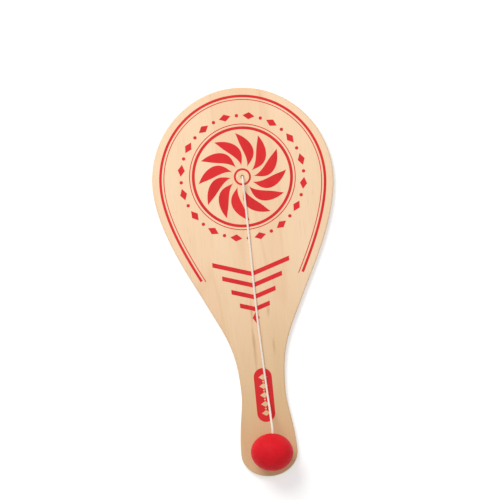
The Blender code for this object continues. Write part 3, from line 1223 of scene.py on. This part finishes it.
@dataclass(frozen=True)
class RubberBall:
    """The ball: turned round its bore, a little flat along it, with two mouths and a faint mould line."""

    diameter: float = 29.6
    length: float = 26.4  # along the bore
    bore: float = 2.1
    mouth_round: float = 0.7
    recess: float = 5.2
    recess_depth: float = 3.6
    bore_yaw: float = 7.0
    mould_line: float = 0.05
    mould_line_width: float = 0.5
    sides: int = 160
    profile_steps: int = 110
    mouth_steps: int = 6

    def placement(self) -> Matrix:
        """Places the ball's own frame, with its bore along Z and its far mouth at +Z.

        Returns:
            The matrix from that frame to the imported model's.
        """
        low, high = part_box("ball")
        yaw = math.radians(self.bore_yaw)
        away = Vector((-math.sin(yaw), -math.cos(yaw), 0.0))
        return Matrix.Translation((low + high) / 2) @ away.to_track_quat("Z", "Y").to_matrix().to_4x4()

    def along_bore(self, distance: float) -> Vector:
        """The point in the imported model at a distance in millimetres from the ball's middle."""
        return self.placement() @ Vector((0.0, 0.0, distance * MM))

    def profile(self) -> list[tuple[float, float]]:
        """Closed section of the ball.

        Returns:
            Radii and heights along the bore, in millimetres.
        """
        reach = self.length / 2
        across = self.diameter / 2
        ends = [(self.bore / 2, -1.0), (self.recess / 2, 1.0)]
        first, last = (math.asin((radius + self.mouth_round) / across) for radius, _ in ends)
        points = []
        for step in range(self.profile_steps + 1):
            turn = first + (math.pi - last - first) * step / self.profile_steps
            height = -reach * math.cos(turn)
            ridge = self.mould_line * math.exp(-((height / (self.mould_line_width / 2)) ** 2))
            points.append(((across + ridge) * math.sin(turn), height))
        for radius, sign in reversed(ends):
            rim = radius + self.mouth_round
            level = reach * math.sqrt(1 - (rim / across) ** 2)
            arc = []
            for step in range(1, self.mouth_steps + 1):
                turn = math.pi / 2 * step / self.mouth_steps
                inset = self.mouth_round * (1 - math.cos(turn))
                arc.append((rim - self.mouth_round * math.sin(turn), sign * (level - inset)))
            if sign > 0:
                floor = reach - self.recess_depth
                points += arc + [(radius, floor), (self.bore / 2, floor)]
            else:
                points += arc[::-1]
        return points

    def build(self) -> list[Piece]:
        """Turn the ball in the place of its solid.

        Returns:
            The ball alone.
        """
        form = bmesh.new()
        rings = []
        for radius, height in self.profile():
            loop = circle(Vector((0.0, 0.0)), radius, self.sides)
            rings.append([form.verts.new((p.x * MM, p.y * MM, height * MM)) for p in loop])
        join_rings(form, rings + rings[:1])
        form.transform(self.placement())
        piece = finish_mesh("rubber_ball", form, MouldedRubber().material())
        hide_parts("ball")
        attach(piece, "ball_body")
        return [piece]


@dataclass(frozen=True)
class Elastic:
    """The elastic from its stopper knot, through the paddle, over the face and through the ball."""

    cord: BraidedCord = BraidedCord()
    knot: StopperKnot = StopperKnot()
    ball: RubberBall = RubberBall()
    free_length: float = 187.0  # from the hole to the ball
    bore_entry: float = 6.6  # before the ball's middle, where the line has settled on the bore's axis
    in_knot: float = 0.4  # how far the cord reaches into either knot
    knot_seat: float = 1.8  # from the ball's recess floor to the knot's middle
    bend_end: float = 14.5  # how far down the face the elastic still bends as it lifts
    bend_blend: float = 14.0
    run_blend: float = 15.0

    def centreline(self) -> tuple[np.ndarray, list[int]]:
        """The whole cord's centreline, and the points where one piece hands over to the next.

        Returns:
            The line's points in metres, and the numbers of those at the ends of the pieces.
        """
        hole = hole_place()
        face = face_level()
        knot_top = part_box("back_knot")[1].z
        root = [Vector((hole.x, hole.y, knot_top + lift * MM)) for lift in (-self.in_knot, self.in_knot)]
        free = [Vector((x, hole.y - down, face + height)) for x, down, height in RUN_ROUTE]
        recess_floor = self.ball.length / 2 - self.ball.recess_depth
        through = [self.ball.along_bore(d) for d in (-self.bore_entry, 0.0, recess_floor + self.in_knot)]
        line = smooth_line(root + free + through, self.cord.ring_step * MM)
        leaves, meets = (int(np.argmin(np.linalg.norm(line - spot, axis=1))) for spot in (free[0], free[-1]))
        bend = int(np.argmax(hole.y - line[:, 1] > self.bend_end * MM))
        return line, [0, leaves, bend, meets, len(line) - 1]

    def tie_knots(self, material: Material) -> list[Piece]:
        """Tie the knot in the paddle's pocket and the knot in the ball's recess.

        Args:
            material: Material of the braid.

        Returns:
            The two knots.
        """
        hole = hole_place()
        low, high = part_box("back_knot")
        behind = Matrix.Translation((hole.x, hole.y, (low.z + high.z) / 2))
        seat = (self.ball.length / 2 - self.ball.recess_depth + self.knot_seat) * MM
        turned = Matrix.Translation((0.0, 0.0, seat)) @ Matrix.Rotation(math.pi, 4, "X")
        in_recess = self.ball.placement() @ turned
        return [
            self.knot.build("elastic_back_knot", "back_knot", "string_root", behind, material),
            self.knot.build("elastic_ball_knot", "ball_knot", "string_end", in_recess, material),
        ]

    def build(self) -> list[Piece]:
        """Returns:
            The cord's four stretches and its two knots.
        """
        cotton = BraidedCotton().material()
        line, marks = self.centreline()
        stretches = []
        for name, node, ends in zip(
            ("elastic_in_hole", "elastic_bend", "elastic_free_run", "elastic_through_ball"),
            ("elastic_shank", "elastic_run", "elastic_run", "elastic_in_ball"),
            zip(marks, marks[1:]),
        ):
            piece = self.cord.tube(name, line, ends, cotton)
            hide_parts(node)
            stretches.append(piece)
        shank, arch, run, through = stretches
        knots = self.tie_knots(cotton)
        _, _, bend, ball, _ = marks
        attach(shank, "string_root")
        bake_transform(arch)
        Vector(line[ball])
        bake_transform(run)
        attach(through, "string_end")
        [tuple(p) for p in line[bend : ball + 1]]
        return [*stretches, *knots]


@dataclass(frozen=True)
class Studio:
    """White floor and backdrop, one large soft lamp off the head's left side, and a camera straight above."""

    roll: float = 5.6  # of the paddle in the picture, head to the left
    aim: tuple[float, float] = (0.3, 22.5)
    view_width: float = 350.0
    camera_height: float = 5000.0
    sensor: float = 36.0
    floor_size: float = 6000.0
    floor_level: float = -0.05
    white: str = "#FFFFFF"
    paper: str = "#F2F2F2"
    paper_roughness: float = 0.9
    paper_glow: float = 0.34
    sky: float = 0.55
    lamp_offset: tuple[float, float, float] = (-380.0, 560.0, 820.0)
    lamp_size: float = 560.0
    lamp_power: float = 6.9

    def add_camera(self, target: Vector) -> None:
        """Hang the camera over the paddle, rolled as in the picture.

        Args:
            target: Point on the face that it looks at.
        """
        data = bpy.data.cameras.new("camera")
        data.sensor_width = self.sensor
        data.lens = self.sensor * self.camera_height / self.view_width
        camera = bpy.data.objects.new("camera", data)
        camera.location = target + Vector((0.0, 0.0, self.camera_height * MM))
        camera.rotation_euler = (0.0, 0.0, math.radians(-self.roll))
        bpy.context.scene.collection.objects.link(camera)
        bpy.context.scene.camera = camera

    def add_floor(self) -> None:
        """Lay the floor: white paper whose glow only the camera and reflections see."""
        form = bmesh.new()
        bmesh.ops.create_grid(form, x_segments=1, y_segments=1, size=self.floor_size / 2 * MM)
        bmesh.ops.translate(form, verts=form.verts, vec=(0.0, 0.0, self.floor_level * MM))
        material = bpy.data.materials.new("paper_sweep_white")
        material.use_nodes = True
        tree = material.node_tree
        shader = tree.nodes["Principled BSDF"]
        rays = add_node(tree, "LightPath").outputs
        either = {0: rays["Is Camera Ray"], 1: rays["Is Glossy Ray"]}
        seen = add_node(tree, "Math", {"operation": "MAXIMUM"}, either)
        strength = {"operation": "MULTIPLY", 1: self.paper_glow}
        glow = add_node(tree, "Math", strength, {0: seen.outputs[0]})
        shader.inputs["Base Color"].default_value = linear(self.paper)
        shader.inputs["Roughness"].default_value = self.paper_roughness
        shader.inputs["Specular IOR Level"].default_value = 0.0
        shader.inputs["Emission Color"].default_value = linear(self.white)
        tree.links.new(glow.outputs[0], shader.inputs["Emission Strength"])
        finish_mesh("floor", form, material)

    def add_lamp(self, target: Vector) -> None:
        """Hang the soft lamp.

        Args:
            target: Point on the face that it shines at.
        """
        lamp = bpy.data.lights.new("soft_lamp", "AREA")
        lamp.shape = "SQUARE"
        lamp.size = self.lamp_size * MM
        lamp.energy = self.lamp_power
        holder = bpy.data.objects.new("soft_lamp", lamp)
        offset = Matrix.Rotation(math.radians(-self.roll), 3, "Z") @ Vector(self.lamp_offset) * MM
        holder.location = target + offset
        holder.rotation_mode = "QUATERNION"
        holder.rotation_quaternion = (-offset).to_track_quat("-Z", "Y")
        bpy.context.scene.collection.objects.link(holder)

    def add_sky(self) -> None:
        """Put an even sky all round, which the camera sees as white."""
        world = bpy.data.worlds.new("studio_sky")
        world.use_nodes = True
        bpy.context.scene.world = world
        tree = world.node_tree
        background = tree.nodes["Background"]
        seen = add_node(tree, "LightPath").outputs["Is Camera Ray"]
        strength = add_node(tree, "MapRange", {"To Min": self.sky}, {0: seen})
        background.inputs["Color"].default_value = linear(self.white)
        tree.links.new(strength.outputs[0], background.inputs["Strength"])

    def build(self) -> None:
        """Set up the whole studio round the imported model."""
        bpy.context.scene.view_settings.view_transform = "Standard"
        target = Vector((self.aim[0] * MM, self.aim[1] * MM, face_level()))
        self.add_camera(target)
        self.add_floor()
        self.add_lamp(target)
        self.add_sky()


def main() -> None:
    """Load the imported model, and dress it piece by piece."""
    logging.basicConfig(level=logging.INFO, format="%(message)s")
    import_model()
    Studio().build()
    log.info("studio: camera, floor, lamp and sky")
    for part in (Elastic(), Plywood(), FacePrint(), RubberBall()):
        for piece in part.build():
            log.info("%s: %s, %d faces", type(part).__name__, piece.name, len(piece.data.polygons))


if __name__ == "__main__":
    main()
